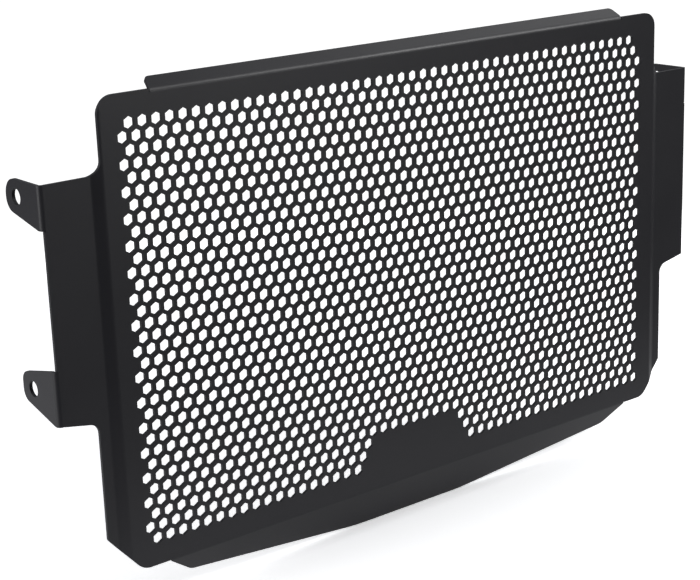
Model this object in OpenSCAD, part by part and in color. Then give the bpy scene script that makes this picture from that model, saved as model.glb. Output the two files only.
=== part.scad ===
// Radiator guard folded from one perforated metal sheet.
// X runs across the guard, Y from its front face to the back, Z up.
// The origin is the middle of the guard's overall box.

/* [Panel] */
// width of the flat panel between its upper edges, mm
panel_w = 325.6; // [280:0.1:380]
// height of the flat panel, mm
panel_h = 204.6; // [180:0.2:250]
// thickness of the sheet, mm
sheet_t = 1.5; // [1:0.1:2]
// radius of the two upper corners, mm
corner_r = 7.5; // [3:0.5:12]
// height of the slanted cut at each lower corner, mm
foot_cut_h = 17.3; // [8:0.1:26]

/* [Grille] */
// holes in each row
hole_columns = 24; // [14:1:26]
// width of a hole across its flats, as a share of the pitch
hole_share = 0.72; // [0.6:0.01:0.8]
// plain border between the holes and the panel's edges, mm
border = 9.4; // [8:0.1:20]
// sideways shift of the field of holes, mm
field_shift = -0.7; // [-2:0.1:2]
// height of the plain patch at the bottom of the field, mm
patch_h = 17; // [0:1:40]
// width of the plain patch at its top, mm
patch_w = 52; // [20:1:120]

/* [Side wings] */
// depth of the step behind the front face, mm
step_d = 2; // [1:0.1:4]
// slope of the step, degrees
step_angle = 25; // [15:1:40]
// width of the narrow strip beside the panel, mm
strip_w = 8.9; // [7:0.1:14]
// width of a wing beside the panel, mm
wing_w = 27.4; // [20:0.1:40]
// height of a wing at its outer edge, mm
wing_h = 100.4; // [90:0.1:140]
// distance from the panel's top edge down to a wing, mm
wing_drop = 31.7; // [20:0.1:40]

/* [Ears] */
// distance from a wing's top edge down to its upper ear hole, mm
ear_hole_drop = 7.2; // [6.5:0.1:12]
// distance from a wing's bottom edge up to its lower ear hole, mm
ear_hole_rise = 12.2; // [7:0.1:16]
// diameter of an ear hole, mm
ear_hole_d = 7; // [5:0.1:9]
// distance from the front face back to the hole centres, mm
ear_hole_depth = 21.2; // [18:0.1:40]
// inside radius of the fold between a wing and its ears, mm
ear_fold_r = 0.6; // [0.4:0.1:3]

/* [Flanges] */
// distance from each side of the panel in to the end of the top flange, mm
top_flange_inset = 25; // [15:0.5:60]
// width of the top flange beyond its fold, mm
top_flange_l = 7.6; // [5:0.1:14]
// angle that the top flange turns back, degrees
top_flange_angle = 57; // [30:1:90]
// distance from each side of the panel in to the end of the bottom flange, mm
bottom_flange_inset = 20; // [14:0.5:40]
// width of the bottom flange at its middle, mm
bottom_flange_l = 22.6; // [16:0.1:34]
// width of the bottom flange at its ends, mm
bottom_flange_end = 10.9; // [6:0.1:14]
// angle that the bottom flange turns back, degrees
bottom_flange_angle = 26; // [10:1:60]
// inside radius of the flange folds, mm
flange_fold_r = 1.5; // [1:0.1:3]

/* [Hidden] */
$fn = 48;
arc_step = 9;

// The panel's half sizes and the heights of its wings
half_w = panel_w / 2;
half_h = panel_h / 2;
strip_x = half_w + strip_w;
wing_x = half_w + wing_w;
wing_top = half_h - wing_drop;
wing_bottom = wing_top - wing_h;

// The step: a fold back and a fold forward, both with this inside radius
step_r = 3;
step_outer_r = step_r + sheet_t;
step_slant_l = (step_d - (step_r + step_outer_r) * (1 - cos(step_angle))) / sin(step_angle);
step_from = half_w - 1.4;
step_to = step_from + (step_r + step_outer_r) * sin(step_angle) + step_slant_l * cos(step_angle);
step_half = tan(step_angle / 2);

// The ears
ear_outer_r = ear_fold_r + sheet_t;
ear_hole_top = wing_top - ear_hole_drop;
ear_hole_bottom = wing_bottom + ear_hole_rise;
ear_end = ear_hole_depth + 8.7;
ear_root_h = 18.4;
lower_ear_root_h = 23.6;
ear_back = ear_hole_depth + 30;
wing_edge_gap = 1.2;

// The flange folds
flange_outer_r = flange_fold_r + sheet_t;
tail = 4;
top_setback = flange_outer_r * tan(top_flange_angle / 2);
bottom_setback = flange_outer_r * tan(bottom_flange_angle / 2);
top_fold_z = half_h;
bottom_fold_z = -half_h;
flange_bevel = 1.3;
flange_half = half_w - top_flange_inset;
foot_half = half_w - bottom_flange_inset;
foot_x = half_w - 6;

// The middle of the overall box, seen from the middle of the panel's front face
box_mid_y = ear_end / 2;
box_mid_z = (top_flange_l * cos(top_flange_angle) - bottom_flange_l * cos(bottom_flange_angle)) / 2;

// The field of holes
field_w = panel_w - 2 * border;
field_h = panel_h - 2 * border;
pitch = field_w / (hole_columns - 0.5 + hole_share);
hole_af = pitch * hole_share;
hole_r = hole_af / sqrt(3);
row_pitch = pitch * sqrt(3) / 2;
hole_rows = round((field_h - 2 * hole_r) / row_pitch) + 1;
patch_top = -field_h / 2 + patch_h;
patch_x = field_shift - 1.6;

// Corner lists run anticlockwise and hold [x, y, radius]
function xy(p) = [p[0], p[1]];
function way(a, b) = (xy(b) - xy(a)) / norm(xy(b) - xy(a));
function way_in(c, i) = way(c[(i + len(c) - 1) % len(c)], c[i]);
function way_out(c, i) = way(c[i], c[(i + 1) % len(c)]);
function side_of(u, v) = u[0] * v[1] - u[1] * v[0];
function turn(c, i) = side_of(way_in(c, i), way_out(c, i));
function half_turn_tan(u, v) = abs(side_of(u, v)) / (1 + u * v);
function setback(c, i) = c[i][2] * half_turn_tan(way_in(c, i), way_out(c, i));
function arc_start(c, i) = xy(c[i]) - way_in(c, i) * setback(c, i);
function arc_end(c, i) = xy(c[i]) + way_out(c, i) * setback(c, i);
function left_of(u) = [-u[1], u[0]];
function arc_centre(c, i) = arc_start(c, i) + left_of(way_in(c, i)) * c[i][2] * sign(turn(c, i));

// Points along the arc of one corner, in steps of about 9 degrees
function swing(p, a) = [p[0] * cos(a) - p[1] * sin(a), p[0] * sin(a) + p[1] * cos(a)];
function turn_angle(c, i) = atan2(turn(c, i), way_in(c, i) * way_out(c, i));
function steps(c, i) = ceil(abs(turn_angle(c, i)) / arc_step);
function arc_points(c, i) =
  [for (k = [0:steps(c, i)])
    arc_centre(c, i) + swing(arc_start(c, i) - arc_centre(c, i), turn_angle(c, i) * k / steps(c, i))];
function corner_points(c, i) = c[i][2] > 0 ? arc_points(c, i) : [xy(c[i])];

// A flat outline with rounded corners
module outline(c) {
  polygon([for (i = [0:len(c) - 1]) each corner_points(c, i)]);
}

// Turns an outline drawn as [across, up] so that it stands, from front to back
module stand(from, to) {
  translate([0, to, 0])
    rotate([90, 0, 0])
      linear_extrude(to - from)
        children();
}

// The right half of the front outline, from the bottom flange round to the top one
right_side = [
  [foot_half, bottom_fold_z + bottom_setback, 0],
  [foot_half, -half_h, 0],
  [foot_x, -half_h, 8],
  [strip_x, -half_h + foot_cut_h, 2],
  [strip_x, wing_bottom - 3, 5],
  [wing_x - ear_outer_r, wing_bottom, 0],
  [wing_x - ear_outer_r, wing_bottom + lower_ear_root_h, 0],
  [wing_x - wing_edge_gap, wing_bottom + lower_ear_root_h, 0],
  [wing_x - wing_edge_gap, wing_top - ear_root_h, 0],
  [wing_x - ear_outer_r, wing_top - ear_root_h, 0],
  [wing_x - ear_outer_r, wing_top, 0],
  [half_w, wing_top, 6],
  [half_w, half_h, corner_r],
  [flange_half, half_h, 0],
  [flange_half, top_fold_z - top_setback, 0]
];
last_corner = len(right_side) - 1;
left_side = [for (i = [last_corner:-1:0]) [-right_side[i][0], right_side[i][1], right_side[i][2]]];

module front_outline() {
  outline(concat(right_side, left_side));
}

function in_patch(x, z) = z < patch_top && abs(x - patch_x) < patch_w / 2 + (patch_top - z) * 0.5;

module field_of_holes() {
  for (row = [0:hole_rows - 1])
    for (column = [0:hole_columns - 1]) {
      z = ((hole_rows - 1) / 2 - row) * row_pitch;
      x = field_shift + (column - (hole_columns - 0.5) / 2 + (row % 2 == 0 ? 0.5 : 0)) * pitch;
      if (!in_patch(x, z))
        translate([x, z])
          rotate(30)
            circle(hole_r, $fn = 6);
    }
}

module panel() {
  stand(0, sheet_t)
    difference() {
      intersection() {
        front_outline();
        square([2 * step_from, 2 * panel_h], center = true);
      }
      field_of_holes();
    }
}

// Plan of the step and the wing behind it, drawn from the front face back
module wing_plan() {
  difference() {
    outline([
      [-1, 0, 0],
      [step_outer_r * step_half, 0, step_outer_r],
      [step_to - step_from - step_r * step_half, step_d, step_r],
      [wing_x, step_d, 0],
      [wing_x, 20, 0],
      [-1, 20, 0]
    ]);
    outline([
      [-2, sheet_t, 0],
      [step_r * step_half, sheet_t, step_r],
      [step_to - step_from - step_outer_r * step_half, step_d + sheet_t, step_outer_r],
      [wing_x + 1, step_d + sheet_t, 0],
      [wing_x + 1, 21, 0],
      [-2, 21, 0]
    ]);
  }
}

module wing() {
  intersection() {
    translate([step_from, 0, -panel_h])
      linear_extrude(2 * panel_h)
        wing_plan();
    stand(-1, 12)
      intersection() {
        front_outline();
        translate([0, -panel_h])
          square([2 * wing_x, 2 * panel_h]);
      }
  }
}

// Plan of the fold between a wing and its ears, with the origin on the outer face
module ear_plan() {
  difference() {
    outline([
      [-8, 0, 0],
      [0, 0, ear_outer_r],
      [0, ear_back, 0],
      [-8, ear_back, 0]
    ]);
    outline([
      [-9, sheet_t, 0],
      [-sheet_t, sheet_t, ear_fold_r],
      [-sheet_t, ear_back + 1, 0],
      [-9, ear_back + 1, 0]
    ]);
  }
}

// The ear outlines are drawn as [distance back from the front face, height]
module upper_ear_outline() {
  outline([
    [0, wing_top - ear_root_h, 0],
    [5, wing_top - ear_root_h, 0],
    [ear_end, ear_hole_top - 5.9, 6],
    [ear_end, wing_top, 7.5],
    [0, wing_top, 0]
  ]);
}

module lower_ear_outline() {
  outline([
    [0, wing_bottom, 0],
    [5, wing_bottom, 0],
    [ear_end, ear_hole_bottom - 5.7, 5],
    [ear_end, ear_hole_bottom + 5.7, 5],
    [5, wing_bottom + lower_ear_root_h, 0],
    [0, wing_bottom + lower_ear_root_h, 0]
  ]);
}

module ears() {
  difference() {
    intersection() {
      translate([wing_x, step_d, -panel_h])
        linear_extrude(2 * panel_h)
          ear_plan();
      translate([wing_x - ear_outer_r - 3, 0, 0])
        rotate([90, 0, 90])
          linear_extrude(ear_outer_r + 6) {
            upper_ear_outline();
            lower_ear_outline();
          }
    }
    for (z = [ear_hole_bottom, ear_hole_top])
      translate([wing_x - 5, ear_hole_depth, z])
        rotate([0, 90, 0])
          cylinder(h = 10, d = ear_hole_d);
  }
}

// Section of a flange: the fold is at the origin and the flange turns by the angle
module flange_section(l, angle) {
  along = [cos(angle), sin(angle)];
  inward = [-sin(angle), cos(angle)];
  tip = l * along;
  far = tip + 12 * along;
  inner = [-sheet_t * tan(angle / 2), sheet_t];
  difference() {
    outline([
      [-tail, 0, 0],
      [0, 0, flange_outer_r],
      [tip[0], tip[1], 0],
      [tip[0] + 5 * inward[0], tip[1] + 5 * inward[1], 0],
      [-tail, tip[1] + 5 * inward[1], 0]
    ]);
    outline([
      [-tail - 1, sheet_t, 0],
      [inner[0], inner[1], flange_fold_r],
      [inner[0] + far[0], inner[1] + far[1], 0],
      [inner[0] + far[0] + 9 * inward[0], inner[1] + far[1] + 9 * inward[1], 0],
      [-tail - 1, inner[1] + far[1] + 9 * inward[1], 0]
    ]);
  }
}

// A flange cut to an outline drawn as [distance from the fold, across]
module flange(l, angle, w) {
  intersection() {
    linear_extrude(w, center = true)
      flange_section(l, angle);
    rotate([90, 0, angle])
      linear_extrude(40, center = true)
        children();
  }
}

module top_flange() {
  translate([0, 0, top_fold_z])
    rotate([0, -90, 0])
      flange(top_flange_l, top_flange_angle, 2 * flange_half)
        outline([
          [-9, -flange_half - 1, 0],
          [0, -flange_half, 0],
          [top_flange_l, flange_bevel - flange_half, 2.5],
          [top_flange_l, flange_half - flange_bevel, 2.5],
          [0, flange_half, 0],
          [-9, flange_half + 1, 0]
        ]);
}

module bottom_flange() {
  end_x = foot_half - bottom_flange_end * 1.15;
  mid_x = foot_half * 0.236;
  translate([0, 0, bottom_fold_z])
    rotate([0, 90, 0])
      flange(bottom_flange_l, bottom_flange_angle, 2 * foot_half)
        outline([
          [-9, -foot_half - 1, 0],
          [0, -foot_half, 0],
          [bottom_flange_end, -end_x, 7],
          [bottom_flange_l, -mid_x, 100],
          [bottom_flange_l, mid_x, 100],
          [bottom_flange_end, end_x, 7],
          [0, foot_half, 0],
          [-9, foot_half + 1, 0]
        ]);
}

module side() {
  wing();
  ears();
}

module guard_sheet() {
  color("#242428")
    translate([0, -box_mid_y, -box_mid_z])
      union() {
        panel();
        side();
        mirror([1, 0, 0])
          side();
        top_flange();
        bottom_flange();
      }
}

guard_sheet();
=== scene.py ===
import math

import bmesh
import bpy
from mathutils import Matrix, Vector


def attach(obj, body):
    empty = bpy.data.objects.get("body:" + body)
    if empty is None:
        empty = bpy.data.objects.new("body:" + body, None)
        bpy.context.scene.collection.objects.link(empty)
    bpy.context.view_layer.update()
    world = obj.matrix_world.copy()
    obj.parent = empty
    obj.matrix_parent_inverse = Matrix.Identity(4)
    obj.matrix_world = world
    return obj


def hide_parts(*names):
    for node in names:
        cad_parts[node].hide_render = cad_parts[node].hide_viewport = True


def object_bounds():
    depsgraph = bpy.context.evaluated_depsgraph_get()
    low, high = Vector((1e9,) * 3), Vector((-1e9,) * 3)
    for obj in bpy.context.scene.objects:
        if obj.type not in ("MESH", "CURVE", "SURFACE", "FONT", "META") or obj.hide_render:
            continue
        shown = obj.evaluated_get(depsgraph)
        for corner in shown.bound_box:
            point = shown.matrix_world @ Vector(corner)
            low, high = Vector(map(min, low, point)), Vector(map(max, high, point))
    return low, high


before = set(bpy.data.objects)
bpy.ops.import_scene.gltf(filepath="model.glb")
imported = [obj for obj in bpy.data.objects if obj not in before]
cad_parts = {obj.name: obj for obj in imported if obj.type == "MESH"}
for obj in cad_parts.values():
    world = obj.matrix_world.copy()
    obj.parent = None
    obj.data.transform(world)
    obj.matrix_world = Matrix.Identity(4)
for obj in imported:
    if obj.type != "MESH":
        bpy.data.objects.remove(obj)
cad_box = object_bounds()

MM = 0.001

# Sizes of the sheet in millimetres, measured from the middle of the panel's front face
T = 1.5
HALF_W = 162.8
HALF_H = 102.3
STRIP_X = HALF_W + 8.9
WING_X = HALF_W + 27.4
WING_TOP = HALF_H - 31.7
WING_BOTTOM = WING_TOP - 100.4

# The step between the panel and a wing
STEP_D = 2.0
STEP_A = math.radians(25)
STEP_R = 3.0
STEP_FROM = HALF_W - 1.4
STEP_SLANT = (STEP_D - (2 * STEP_R + T) * (1 - math.cos(STEP_A))) / math.sin(STEP_A)
STEP_TO = STEP_FROM + (2 * STEP_R + T) * math.sin(STEP_A) + STEP_SLANT * math.cos(STEP_A)

# The folds: outer radius, angle, and length from the fold's corner to the free edge
FLANGE_R = 3.0
TOP_A, TOP_L, TOP_HALF = math.radians(57), 7.6, HALF_W - 25
BOTTOM_A, BOTTOM_L, BOTTOM_HALF = math.radians(26), 22.6, HALF_W - 20
BOTTOM_END = 10.9
BOTTOM_END_SLOPE = 1.15
BOTTOM_MID_SHARE = 0.236
TOP_BEVEL = 1.3
FOOT_X = HALF_W - 6
FOOT_CUT = 17.3
EAR_R = 2.1
EAR_HOLE_R = 3.5
EAR_HOLE_Y = 21.2
EAR_END = EAR_HOLE_Y + 8.7
EAR_HOLE_ZS = (63.4, -17.6)
UPPER_ROOT = WING_TOP - 18.4
LOWER_ROOT = WING_BOTTOM + 23.6
EAR_ROOT_Y = 5
UPPER_TIP = 5.9
LOWER_TIP = 5.7
WING_EDGE = WING_X - 1.2
SLIT = 0.25

# The middle of the overall box, which is the frame's origin
BOX_MID = Vector((0, EAR_END / 2, (TOP_L * math.cos(TOP_A) - BOTTOM_L * math.cos(BOTTOM_A)) / 2))

# The grille: rows of places half a pitch apart, of which every second one is a hole
PITCH = 6.5
HOLE_AF = 4.7
GRILLE_X = -0.7
ROWS = 33
PLACES = 94

# The plain patch: its rows, its middle place, and how far it reaches in its top row
PATCH_ROWS = 3
PATCH_PLACE = 46
PATCH_REACH = 7

# Slices across the step, an ear's fold and a flange's fold, and sides of an ear hole
STEP_CUTS = 12
EAR_CUTS = 8
FLANGE_CUTS = 7
EAR_HOLE_SIDES = 40

# Edges over BEVEL_FROM degrees get a bevel in metres, and edges over SHARP stay sharp in the shading
EDGE_BEVEL = 0.00012
BEVEL_FROM = 65
SHARP = math.radians(24)
FLAT_DOT = math.cos(math.radians(1))

# The coat, the pale floor round the guard with painted shade on the floor beyond it, and the lights
COAT_DARK = (0.0125, 0.0122, 0.0152, 1)
COAT_LIGHT = (0.0175, 0.017, 0.0208, 1)
COAT_ROUGH = 0.4
PALE_FLOOR_MID = (-0.05, 0.2)
PALE_FLOOR_HALF = (0.5, 0.32)
PALE_FLOOR_ALBEDO = 0.85
# Painted shade: beyond the pale floor, the floor is near-black to all rays but the camera's, standing in for the
# unlit room
FAR_FLOOR_PAINTED_SHADE = 0.08
FLOOR_GLOW = 0.19
WORLD_LIGHT = 0.2444

# Soft boxes: name, place, size, power
LIGHTS = (
    ("aboveright", (1.1, 0.0, 1.1), 1.0, 2.91),
    ("right", (1.5, 0.3, 0.25), 1.0, 4.43),
    ("rightfront", (1.1, -1.1, 0.35), 1.0, 0.19),
    ("left", (-1.5, 0.2, 0.3), 1.0, 17.09),
    ("fold", (1.0, -0.95, 0.85), 0.5, 8.22),
    ("frontlow", (0.65, -1.3, 0.15), 0.5, 1.91),
)
CAMERA_LENS = 87.112
CAMERA_PLACE = (-0.49362, -0.59345, 0.21887)
CAMERA_TURN = (1.288750, 0.034294, -0.675290)


class Fold:
    """A fold that starts at a given place and turns through an angle, with a straight leaf after it."""

    def __init__(self, radius, angle, length):
        self.radius, self.angle = radius, angle
        self.setback = radius * math.tan(angle / 2)
        self.arc = radius * angle
        self.flat = self.arc + length - self.setback

    def at(self, s, depth):
        """Distance along and behind the first face, for a point s past the fold's start."""
        turned = min(s, self.arc) / self.radius
        along = (self.radius - depth) * math.sin(turned)
        behind = self.radius - (self.radius - depth) * math.cos(turned)
        past = max(0.0, s - self.arc)
        return along + past * math.cos(self.angle), behind + past * math.sin(self.angle)


TOP = Fold(FLANGE_R, TOP_A, TOP_L)
BOTTOM = Fold(FLANGE_R, BOTTOM_A, BOTTOM_L)
EAR = Fold(EAR_R, math.radians(90), EAR_END - STEP_D)
TOP_START = HALF_H - TOP.setback
BOTTOM_START = BOTTOM.setback - HALF_H
EAR_START = WING_X - EAR.setback


def flat_x(y):
    """Place in the flat pattern of an ear's point that ends up y behind the panel's front face."""
    return EAR_START + EAR.arc + (y - STEP_D - EAR_R)


def flange_s(fold, distance):
    return fold.arc + distance - fold.setback


def rounded(corners):
    """Replaces each corner [x, z, radius] of an anticlockwise outline by points on its arc."""
    out = []
    n = len(corners)
    for i, (x, z, r) in enumerate(corners):
        here = Vector((x, z))
        if r <= 0:
            out.append(here)
            continue
        u = (here - Vector(corners[i - 1][:2])).normalized()
        v = (Vector(corners[(i + 1) % n][:2]) - here).normalized()
        side = u.x * v.y - u.y * v.x
        turn = math.atan2(side, u.dot(v))
        back = r * abs(math.tan(turn / 2))
        start = here - u * back
        centre = start + Vector((-u.y, u.x)) * r * (1 if side > 0 else -1)
        steps = max(2, math.ceil(abs(turn) / math.radians(9)))
        for k in range(steps + 1):
            out.append(centre + Matrix.Rotation(turn * k / steps, 2) @ (start - centre))
    return out


def right_half():
    """Right half of the flat pattern, from the bottom flange's middle up to the top flange."""
    end_s = BOTTOM_START - flange_s(BOTTOM, BOTTOM_END)
    mid_s = BOTTOM_START - flange_s(BOTTOM, BOTTOM_L)
    end_x = BOTTOM_HALF - BOTTOM_END * BOTTOM_END_SLOPE
    mid_x = BOTTOM_HALF * BOTTOM_MID_SHARE
    corner_s = BOTTOM_START - BOTTOM.arc
    tip = flat_x(EAR_END)
    root = flat_x(EAR_ROOT_Y)
    top_edge = TOP_START + flange_s(TOP, TOP_L)
    top_corner = TOP_START + TOP.arc
    return [
        (mid_x, mid_s, 100),
        (end_x, end_s, 7),
        (BOTTOM_HALF, corner_s, 0),
        (BOTTOM_HALF, BOTTOM_START, 0),
        (BOTTOM_HALF + SLIT, BOTTOM_START, 0),
        (BOTTOM_HALF + SLIT, -HALF_H, 0),
        (FOOT_X, -HALF_H, 8),
        (STRIP_X, -HALF_H + FOOT_CUT, 2),
        (STRIP_X, WING_BOTTOM - 3, 5),
        (EAR_START, WING_BOTTOM, 0),
        (root, WING_BOTTOM, 3),
        (tip, EAR_HOLE_ZS[1] - LOWER_TIP, 5),
        (tip, EAR_HOLE_ZS[1] + LOWER_TIP, 5),
        (root, LOWER_ROOT, 2),
        (EAR_START, LOWER_ROOT, 0),
        (EAR_START, LOWER_ROOT + SLIT, 0),
        (WING_EDGE, LOWER_ROOT + SLIT, 0),
        (WING_EDGE, UPPER_ROOT - SLIT, 0),
        (EAR_START, UPPER_ROOT - SLIT, 0),
        (EAR_START, UPPER_ROOT, 0),
        (root, UPPER_ROOT, 3),
        (tip, EAR_HOLE_ZS[0] - UPPER_TIP, 6),
        (tip, WING_TOP, 7.5),
        (HALF_W, WING_TOP, 6),
        (HALF_W, HALF_H, 7.5),
        (TOP_HALF + SLIT, HALF_H, 0),
        (TOP_HALF + SLIT, TOP_START, 0),
        (TOP_HALF, TOP_START, 0),
        (TOP_HALF, top_corner, 0),
        (TOP_HALF - TOP_BEVEL, top_edge, 2.5),
    ]


def pattern_outline():
    right = right_half()
    left = [(-x, z, r) for x, z, r in reversed(right)]
    return rounded(right + left)


def hole_centres():
    """The rows of hexagons, without one at the upper right and with the plain patch left out."""
    for row in range(ROWS):
        z = (ROWS // 2 - row) * PITCH * math.sqrt(3) / 2
        first = 1 if row % 2 == 0 else 0
        for place in range(first, PLACES, 2):
            if row == 0 and place == PLACES - 1:
                continue
            below = row - (ROWS - PATCH_ROWS)
            if below >= 0 and abs(place - PATCH_PLACE) <= PATCH_REACH + below:
                continue
            yield GRILLE_X + (place - (PLACES - 1) / 2) / 2 * PITCH, z


def ring(x, z, r, sides, start):
    step = 2 * math.pi / sides
    return [Vector((x + r * math.cos(start + k * step), z + r * math.sin(start + k * step))) for k in range(sides)]


def flat_face_mesh(loops):
    """Fills the outline round its holes and returns a mesh of one flat layer."""
    curve = bpy.data.curves.new("pattern", "CURVE")
    curve.dimensions = "2D"
    curve.fill_mode = "BOTH"
    curve.resolution_u = 1
    for loop in loops:
        spline = curve.splines.new("POLY")
        spline.points.add(len(loop) - 1)
        for point, p in zip(spline.points, loop):
            point.co = (p.x * MM, p.y * MM, 0, 1)
        spline.use_cyclic_u = True
    holder = bpy.data.objects.new("pattern", curve)
    bpy.context.scene.collection.objects.link(holder)
    bpy.context.view_layer.update()
    mesh = bpy.data.meshes.new_from_object(holder)
    bpy.data.objects.remove(holder)
    bpy.data.curves.remove(curve)
    return mesh


def cut_lines():
    """Where the flat pattern is cut across, so that it can bend: (axis, place)."""
    for side in (-1, 1):
        for k in range(STEP_CUTS + 1):
            yield 0, side * (STEP_FROM + (STEP_TO - STEP_FROM) * k / STEP_CUTS)
        for k in range(EAR_CUTS + 1):
            yield 0, side * (EAR_START + EAR.arc * k / EAR_CUTS)
    for k in range(FLANGE_CUTS + 1):
        yield 1, TOP_START + TOP.arc * k / FLANGE_CUTS
        yield 1, BOTTOM_START - BOTTOM.arc * k / FLANGE_CUTS


def step_depth(x, depth):
    """Distance behind the panel's front face at a sheet depth, across the step."""
    near_r = STEP_R + T - depth
    far_r = STEP_R + depth
    if x <= 0:
        return depth
    if x < near_r * math.sin(STEP_A):
        return STEP_R + T - math.sqrt(near_r**2 - x**2)
    left = STEP_TO - STEP_FROM - x
    if left <= 0:
        return STEP_D + depth
    if left < far_r * math.sin(STEP_A):
        return STEP_D - STEP_R + math.sqrt(far_r**2 - left**2)
    start = near_r * math.sin(STEP_A)
    return STEP_R + T - near_r * math.cos(STEP_A) + (x - start) * math.tan(STEP_A)


def folded(co):
    """Moves a point of the flat pattern, (x, z, depth), to its place in the folded sheet."""
    x, z, depth = co
    far = abs(x)
    sign = 1 if x >= 0 else -1
    if z > TOP_START + 1e-5 and far < TOP_HALF + SLIT / 2:
        along, behind = TOP.at(z - TOP_START, depth)
        return Vector((x, behind, TOP_START + along))
    if z < BOTTOM_START - 1e-5 and far < BOTTOM_HALF + SLIT / 2:
        along, behind = BOTTOM.at(BOTTOM_START - z, depth)
        return Vector((x, behind, BOTTOM_START - along))
    low = z < LOWER_ROOT + SLIT / 2
    high = z > UPPER_ROOT - SLIT / 2
    if far > EAR_START + 1e-5 and (low or high):
        along, behind = EAR.at(far - EAR_START, depth)
        return Vector((sign * (EAR_START + along), STEP_D + behind, z))
    return Vector((x, step_depth(far - STEP_FROM, depth), z))


def sheet_mesh():
    loops = [pattern_outline()]
    for x, z in hole_centres():
        loops.append(ring(x, z, HOLE_AF / math.sqrt(3), 6, math.pi / 6))
    for side in (-1, 1):
        for z in EAR_HOLE_ZS:
            loops.append(ring(side * flat_x(EAR_HOLE_Y), z, EAR_HOLE_R, EAR_HOLE_SIDES, 0))
    mesh = flat_face_mesh(loops)
    bm = bmesh.new()
    bm.from_mesh(mesh)
    bmesh.ops.remove_doubles(bm, verts=bm.verts, dist=1e-7)
    for v in bm.verts:
        v.co.z = 0
    for axis, place in cut_lines():
        normal = (1, 0, 0) if axis == 0 else (0, 1, 0)
        at = (place * MM, 0, 0) if axis == 0 else (0, place * MM, 0)
        everything = bm.verts[:] + bm.edges[:] + bm.faces[:]
        bmesh.ops.bisect_plane(bm, geom=everything, plane_co=at, plane_no=normal, dist=1e-7)
    layer = bm.faces[:]
    grown = bmesh.ops.extrude_face_region(bm, geom=layer)
    for v in [g for g in grown["geom"] if isinstance(g, bmesh.types.BMVert)]:
        v.co.z = T * MM
    for v in bm.verts:
        place = folded((v.co.x / MM, v.co.y / MM, v.co.z / MM))
        v.co = (place - BOX_MID) * MM
    bmesh.ops.recalc_face_normals(bm, faces=bm.faces)
    bm.to_mesh(mesh)
    bm.free()
    return mesh


def apply_modifiers(obj):
    graph = bpy.context.evaluated_depsgraph_get()
    mesh = bpy.data.meshes.new_from_object(obj.evaluated_get(graph), preserve_all_data_layers=True, depsgraph=graph)
    obj.modifiers.clear()
    obj.data = mesh


def flat_directions():
    """The directions that the flats of the sheet look along."""
    found = [Vector((0, 1, 0)), Vector((1, 0, 0))]
    found.append(Vector((0, math.cos(TOP_A), -math.sin(TOP_A))))
    found.append(Vector((0, math.cos(BOTTOM_A), math.sin(BOTTOM_A))))
    for side in (-1, 1):
        found.append(Vector((side * math.sin(STEP_A), -math.cos(STEP_A), 0)))
    return found + [-direction for direction in found]


FLATS = flat_directions()


def shared_normal(face, vert, flat_of):
    """The normal of a curved face at one of its corners: that of the flat it runs into, or the mean."""
    total = Vector()
    for loop in vert.link_loops:
        other = loop.face
        if other.normal.dot(face.normal) < math.cos(SHARP):
            continue
        if other in flat_of:
            return flat_of[other]
        total += other.normal * loop.calc_angle()
    return total.normalized()


def soften(obj, width, angle):
    """Rounds the cut edges a little, then gives each flat one normal and the folds smooth ones."""
    bevel = obj.modifiers.new("edge", "BEVEL")
    bevel.width = width
    bevel.segments = 1
    bevel.limit_method = "ANGLE"
    bevel.angle_limit = math.radians(angle)
    apply_modifiers(obj)
    bm = bmesh.new()
    bm.from_mesh(obj.data)
    for edge in bm.edges:
        edge.smooth = not (edge.is_manifold and edge.calc_face_angle(0) > SHARP)
    flat_of = {}
    for face in bm.faces:
        face.smooth = True
        for flat in FLATS:
            if face.normal.dot(flat) > FLAT_DOT:
                flat_of[face] = flat
    normals = []
    for face in bm.faces:
        for loop in face.loops:
            normals.append(flat_of.get(face) or shared_normal(face, loop.vert, flat_of))
    bm.to_mesh(obj.data)
    bm.free()
    obj.data.normals_split_custom_set(normals)


def powder_coat():
    """Satin black powder coat with a fine orange peel and a faint speckle."""
    mat = bpy.data.materials.new("powder_coat")
    mat.use_nodes = True
    nodes, links = mat.node_tree.nodes, mat.node_tree.links
    shader = nodes["Principled BSDF"]
    where = nodes.new("ShaderNodeTexCoord")

    def noise(scale, detail):
        node = nodes.new("ShaderNodeTexNoise")
        node.inputs["Scale"].default_value = scale
        node.inputs["Detail"].default_value = detail
        links.new(where.outputs["Object"], node.inputs["Vector"])
        return node

    def ramp(source, low, high):
        node = nodes.new("ShaderNodeMapRange")
        node.inputs["From Min"].default_value = 0.3
        node.inputs["From Max"].default_value = 0.7
        node.inputs["To Min"].default_value = low
        node.inputs["To Max"].default_value = high
        links.new(source, node.inputs["Value"])
        return node

    cloud = noise(14, 4)
    grain = noise(2600, 2)
    peel = noise(900, 3)

    mix = nodes.new("ShaderNodeMix")
    mix.data_type = "RGBA"
    mix.inputs[6].default_value = COAT_DARK
    mix.inputs[7].default_value = COAT_LIGHT
    links.new(cloud.outputs["Fac"], mix.inputs[0])

    links.new(mix.outputs[2], shader.inputs["Base Color"])

    rough = ramp(cloud.outputs["Fac"], COAT_ROUGH - 0.03, COAT_ROUGH + 0.03)
    speck = ramp(grain.outputs["Fac"], -0.03, 0.03)
    total = nodes.new("ShaderNodeMath")
    total.operation = "ADD"
    links.new(rough.outputs["Result"], total.inputs[0])
    links.new(speck.outputs["Result"], total.inputs[1])
    links.new(total.outputs[0], shader.inputs["Roughness"])

    bump = nodes.new("ShaderNodeBump")
    bump.inputs["Strength"].default_value = 0.12
    bump.inputs["Distance"].default_value = 0.0001
    links.new(peel.outputs["Fac"], bump.inputs["Height"])
    links.new(bump.outputs["Normal"], shader.inputs["Normal"])
    shader.inputs["Specular IOR Level"].default_value = 0.5
    return mat


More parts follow.
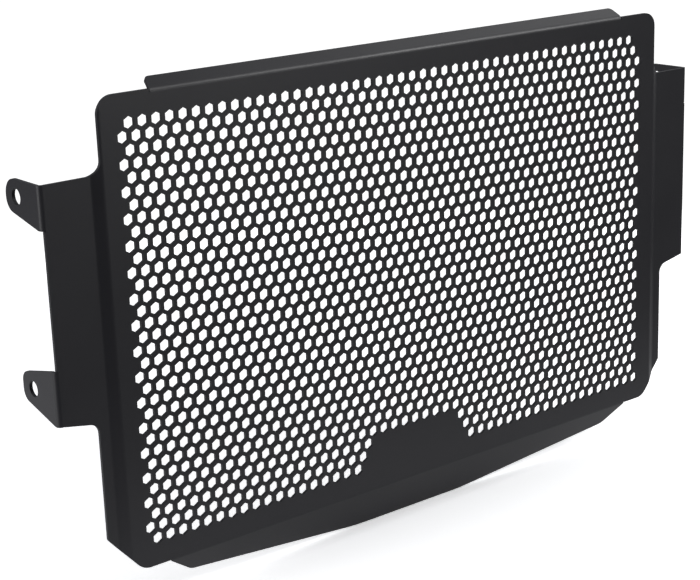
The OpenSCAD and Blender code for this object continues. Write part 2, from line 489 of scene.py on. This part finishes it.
def only_for_camera(nodes, links, seen, lit):
    """Shows one shader to the camera and the other to every ray that lights the object."""
    path = nodes.new("ShaderNodeLightPath")
    mix = nodes.new("ShaderNodeMixShader")
    links.new(path.outputs["Is Camera Ray"], mix.inputs[0])
    links.new(lit, mix.inputs[1])
    links.new(seen, mix.inputs[2])
    return mix.outputs[0]


def floor_material():
    """A pale floor that the camera sees as white, apart from the soft shadow on it; beyond the pale part round the
    guard its colour fades to a painted shade, near-black to all rays but the camera's.
    """
    mat = bpy.data.materials.new("floor")
    mat.use_nodes = True
    nodes, links = mat.node_tree.nodes, mat.node_tree.links
    shader = nodes["Principled BSDF"]
    shader.inputs["Roughness"].default_value = 0.7
    where = nodes.new("ShaderNodeTexCoord")
    scaled = nodes.new("ShaderNodeVectorMath")
    scaled.operation = "MULTIPLY_ADD"
    scaled.inputs[2].default_value = (-PALE_FLOOR_MID[0] / PALE_FLOOR_HALF[0], -PALE_FLOOR_MID[1] / PALE_FLOOR_HALF[1], 0)
    scaled.inputs[1].default_value = (1 / PALE_FLOOR_HALF[0], 1 / PALE_FLOOR_HALF[1], 0)
    links.new(where.outputs["Object"], scaled.inputs[0])
    reach = nodes.new("ShaderNodeVectorMath")
    reach.operation = "LENGTH"
    links.new(scaled.outputs["Vector"], reach.inputs[0])
    # Painted shade: the floor's colour fades from pale to near-black past the pale part round the guard
    pale_to_painted_shade = nodes.new("ShaderNodeMapRange")
    pale_to_painted_shade.inputs["From Min"].default_value = 0.9
    pale_to_painted_shade.inputs["From Max"].default_value = 1.3
    pale_to_painted_shade.inputs["To Min"].default_value = PALE_FLOOR_ALBEDO
    pale_to_painted_shade.inputs["To Max"].default_value = FAR_FLOOR_PAINTED_SHADE
    links.new(reach.outputs["Value"], pale_to_painted_shade.inputs["Value"])
    links.new(pale_to_painted_shade.outputs["Result"], shader.inputs["Base Color"])
    glow = nodes.new("ShaderNodeEmission")
    shown = nodes.new("ShaderNodeMapRange")
    shown.inputs["From Min"].default_value = 0.9
    shown.inputs["From Max"].default_value = 1.1
    shown.inputs["To Min"].default_value = FLOOR_GLOW
    shown.inputs["To Max"].default_value = 1.0
    links.new(reach.outputs["Value"], shown.inputs["Value"])
    links.new(shown.outputs["Result"], glow.inputs["Strength"])
    # The camera sees the floor's own light twice, which deepens the soft shadow
    twice = nodes.new("ShaderNodeAddShader")
    links.new(shader.outputs[0], twice.inputs[0])
    links.new(shader.outputs[0], twice.inputs[1])
    both = nodes.new("ShaderNodeAddShader")
    links.new(twice.outputs[0], both.inputs[0])
    links.new(glow.outputs[0], both.inputs[1])
    out = nodes["Material Output"]
    links.new(only_for_camera(nodes, links, both.outputs[0], shader.outputs[0]), out.inputs["Surface"])
    return mat


def make_world():
    world = bpy.data.worlds.new("studio")
    bpy.context.scene.world = world
    world.use_nodes = True
    nodes, links = world.node_tree.nodes, world.node_tree.links
    lit = nodes["Background"]
    lit.inputs["Color"].default_value = (0.93, 0.95, 1.0, 1)
    lit.inputs["Strength"].default_value = WORLD_LIGHT
    seen = nodes.new("ShaderNodeBackground")
    seen.inputs["Color"].default_value = (1, 1, 1, 1)
    seen.inputs["Strength"].default_value = 1.0
    out = nodes["World Output"]
    links.new(only_for_camera(nodes, links, seen.outputs[0], lit.outputs[0]), out.inputs["Surface"])


def area_light(name, place, size, power):
    """A square soft box that points at the guard."""
    light = bpy.data.lights.new(name, "AREA")
    light.size = size
    light.energy = power
    obj = bpy.data.objects.new(name, light)
    obj.location = place
    obj.rotation_euler = (-Vector(place)).to_track_quat("-Z", "Y").to_euler()
    obj.visible_camera = False
    bpy.context.scene.collection.objects.link(obj)


def make_camera():
    data = bpy.data.cameras.new("camera")
    data.lens = CAMERA_LENS
    data.sensor_width = 36
    data.sensor_fit = "HORIZONTAL"
    data.clip_start, data.clip_end = 0.05, 50
    camera = bpy.data.objects.new("camera", data)
    camera.location = CAMERA_PLACE
    camera.rotation_euler = CAMERA_TURN
    bpy.context.scene.collection.objects.link(camera)
    bpy.context.scene.camera = camera


sheet = bpy.data.objects.new("perforated_sheet", sheet_mesh())
bpy.context.scene.collection.objects.link(sheet)
soften(sheet, EDGE_BEVEL, BEVEL_FROM)
sheet.data.materials.clear()
sheet.data.materials.append(powder_coat())
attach(sheet, "root")
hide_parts("guard_sheet")

floor_z = cad_box[0][2] - 0.0002
bpy.ops.mesh.primitive_plane_add(size=16, location=(0, 0, floor_z))
floor = bpy.context.object
floor.name = "floor"
floor.data.materials.append(floor_material())

make_world()
for light in LIGHTS:
    area_light(*light)
make_camera()

scene = bpy.context.scene
scene.view_settings.view_transform = "Standard"
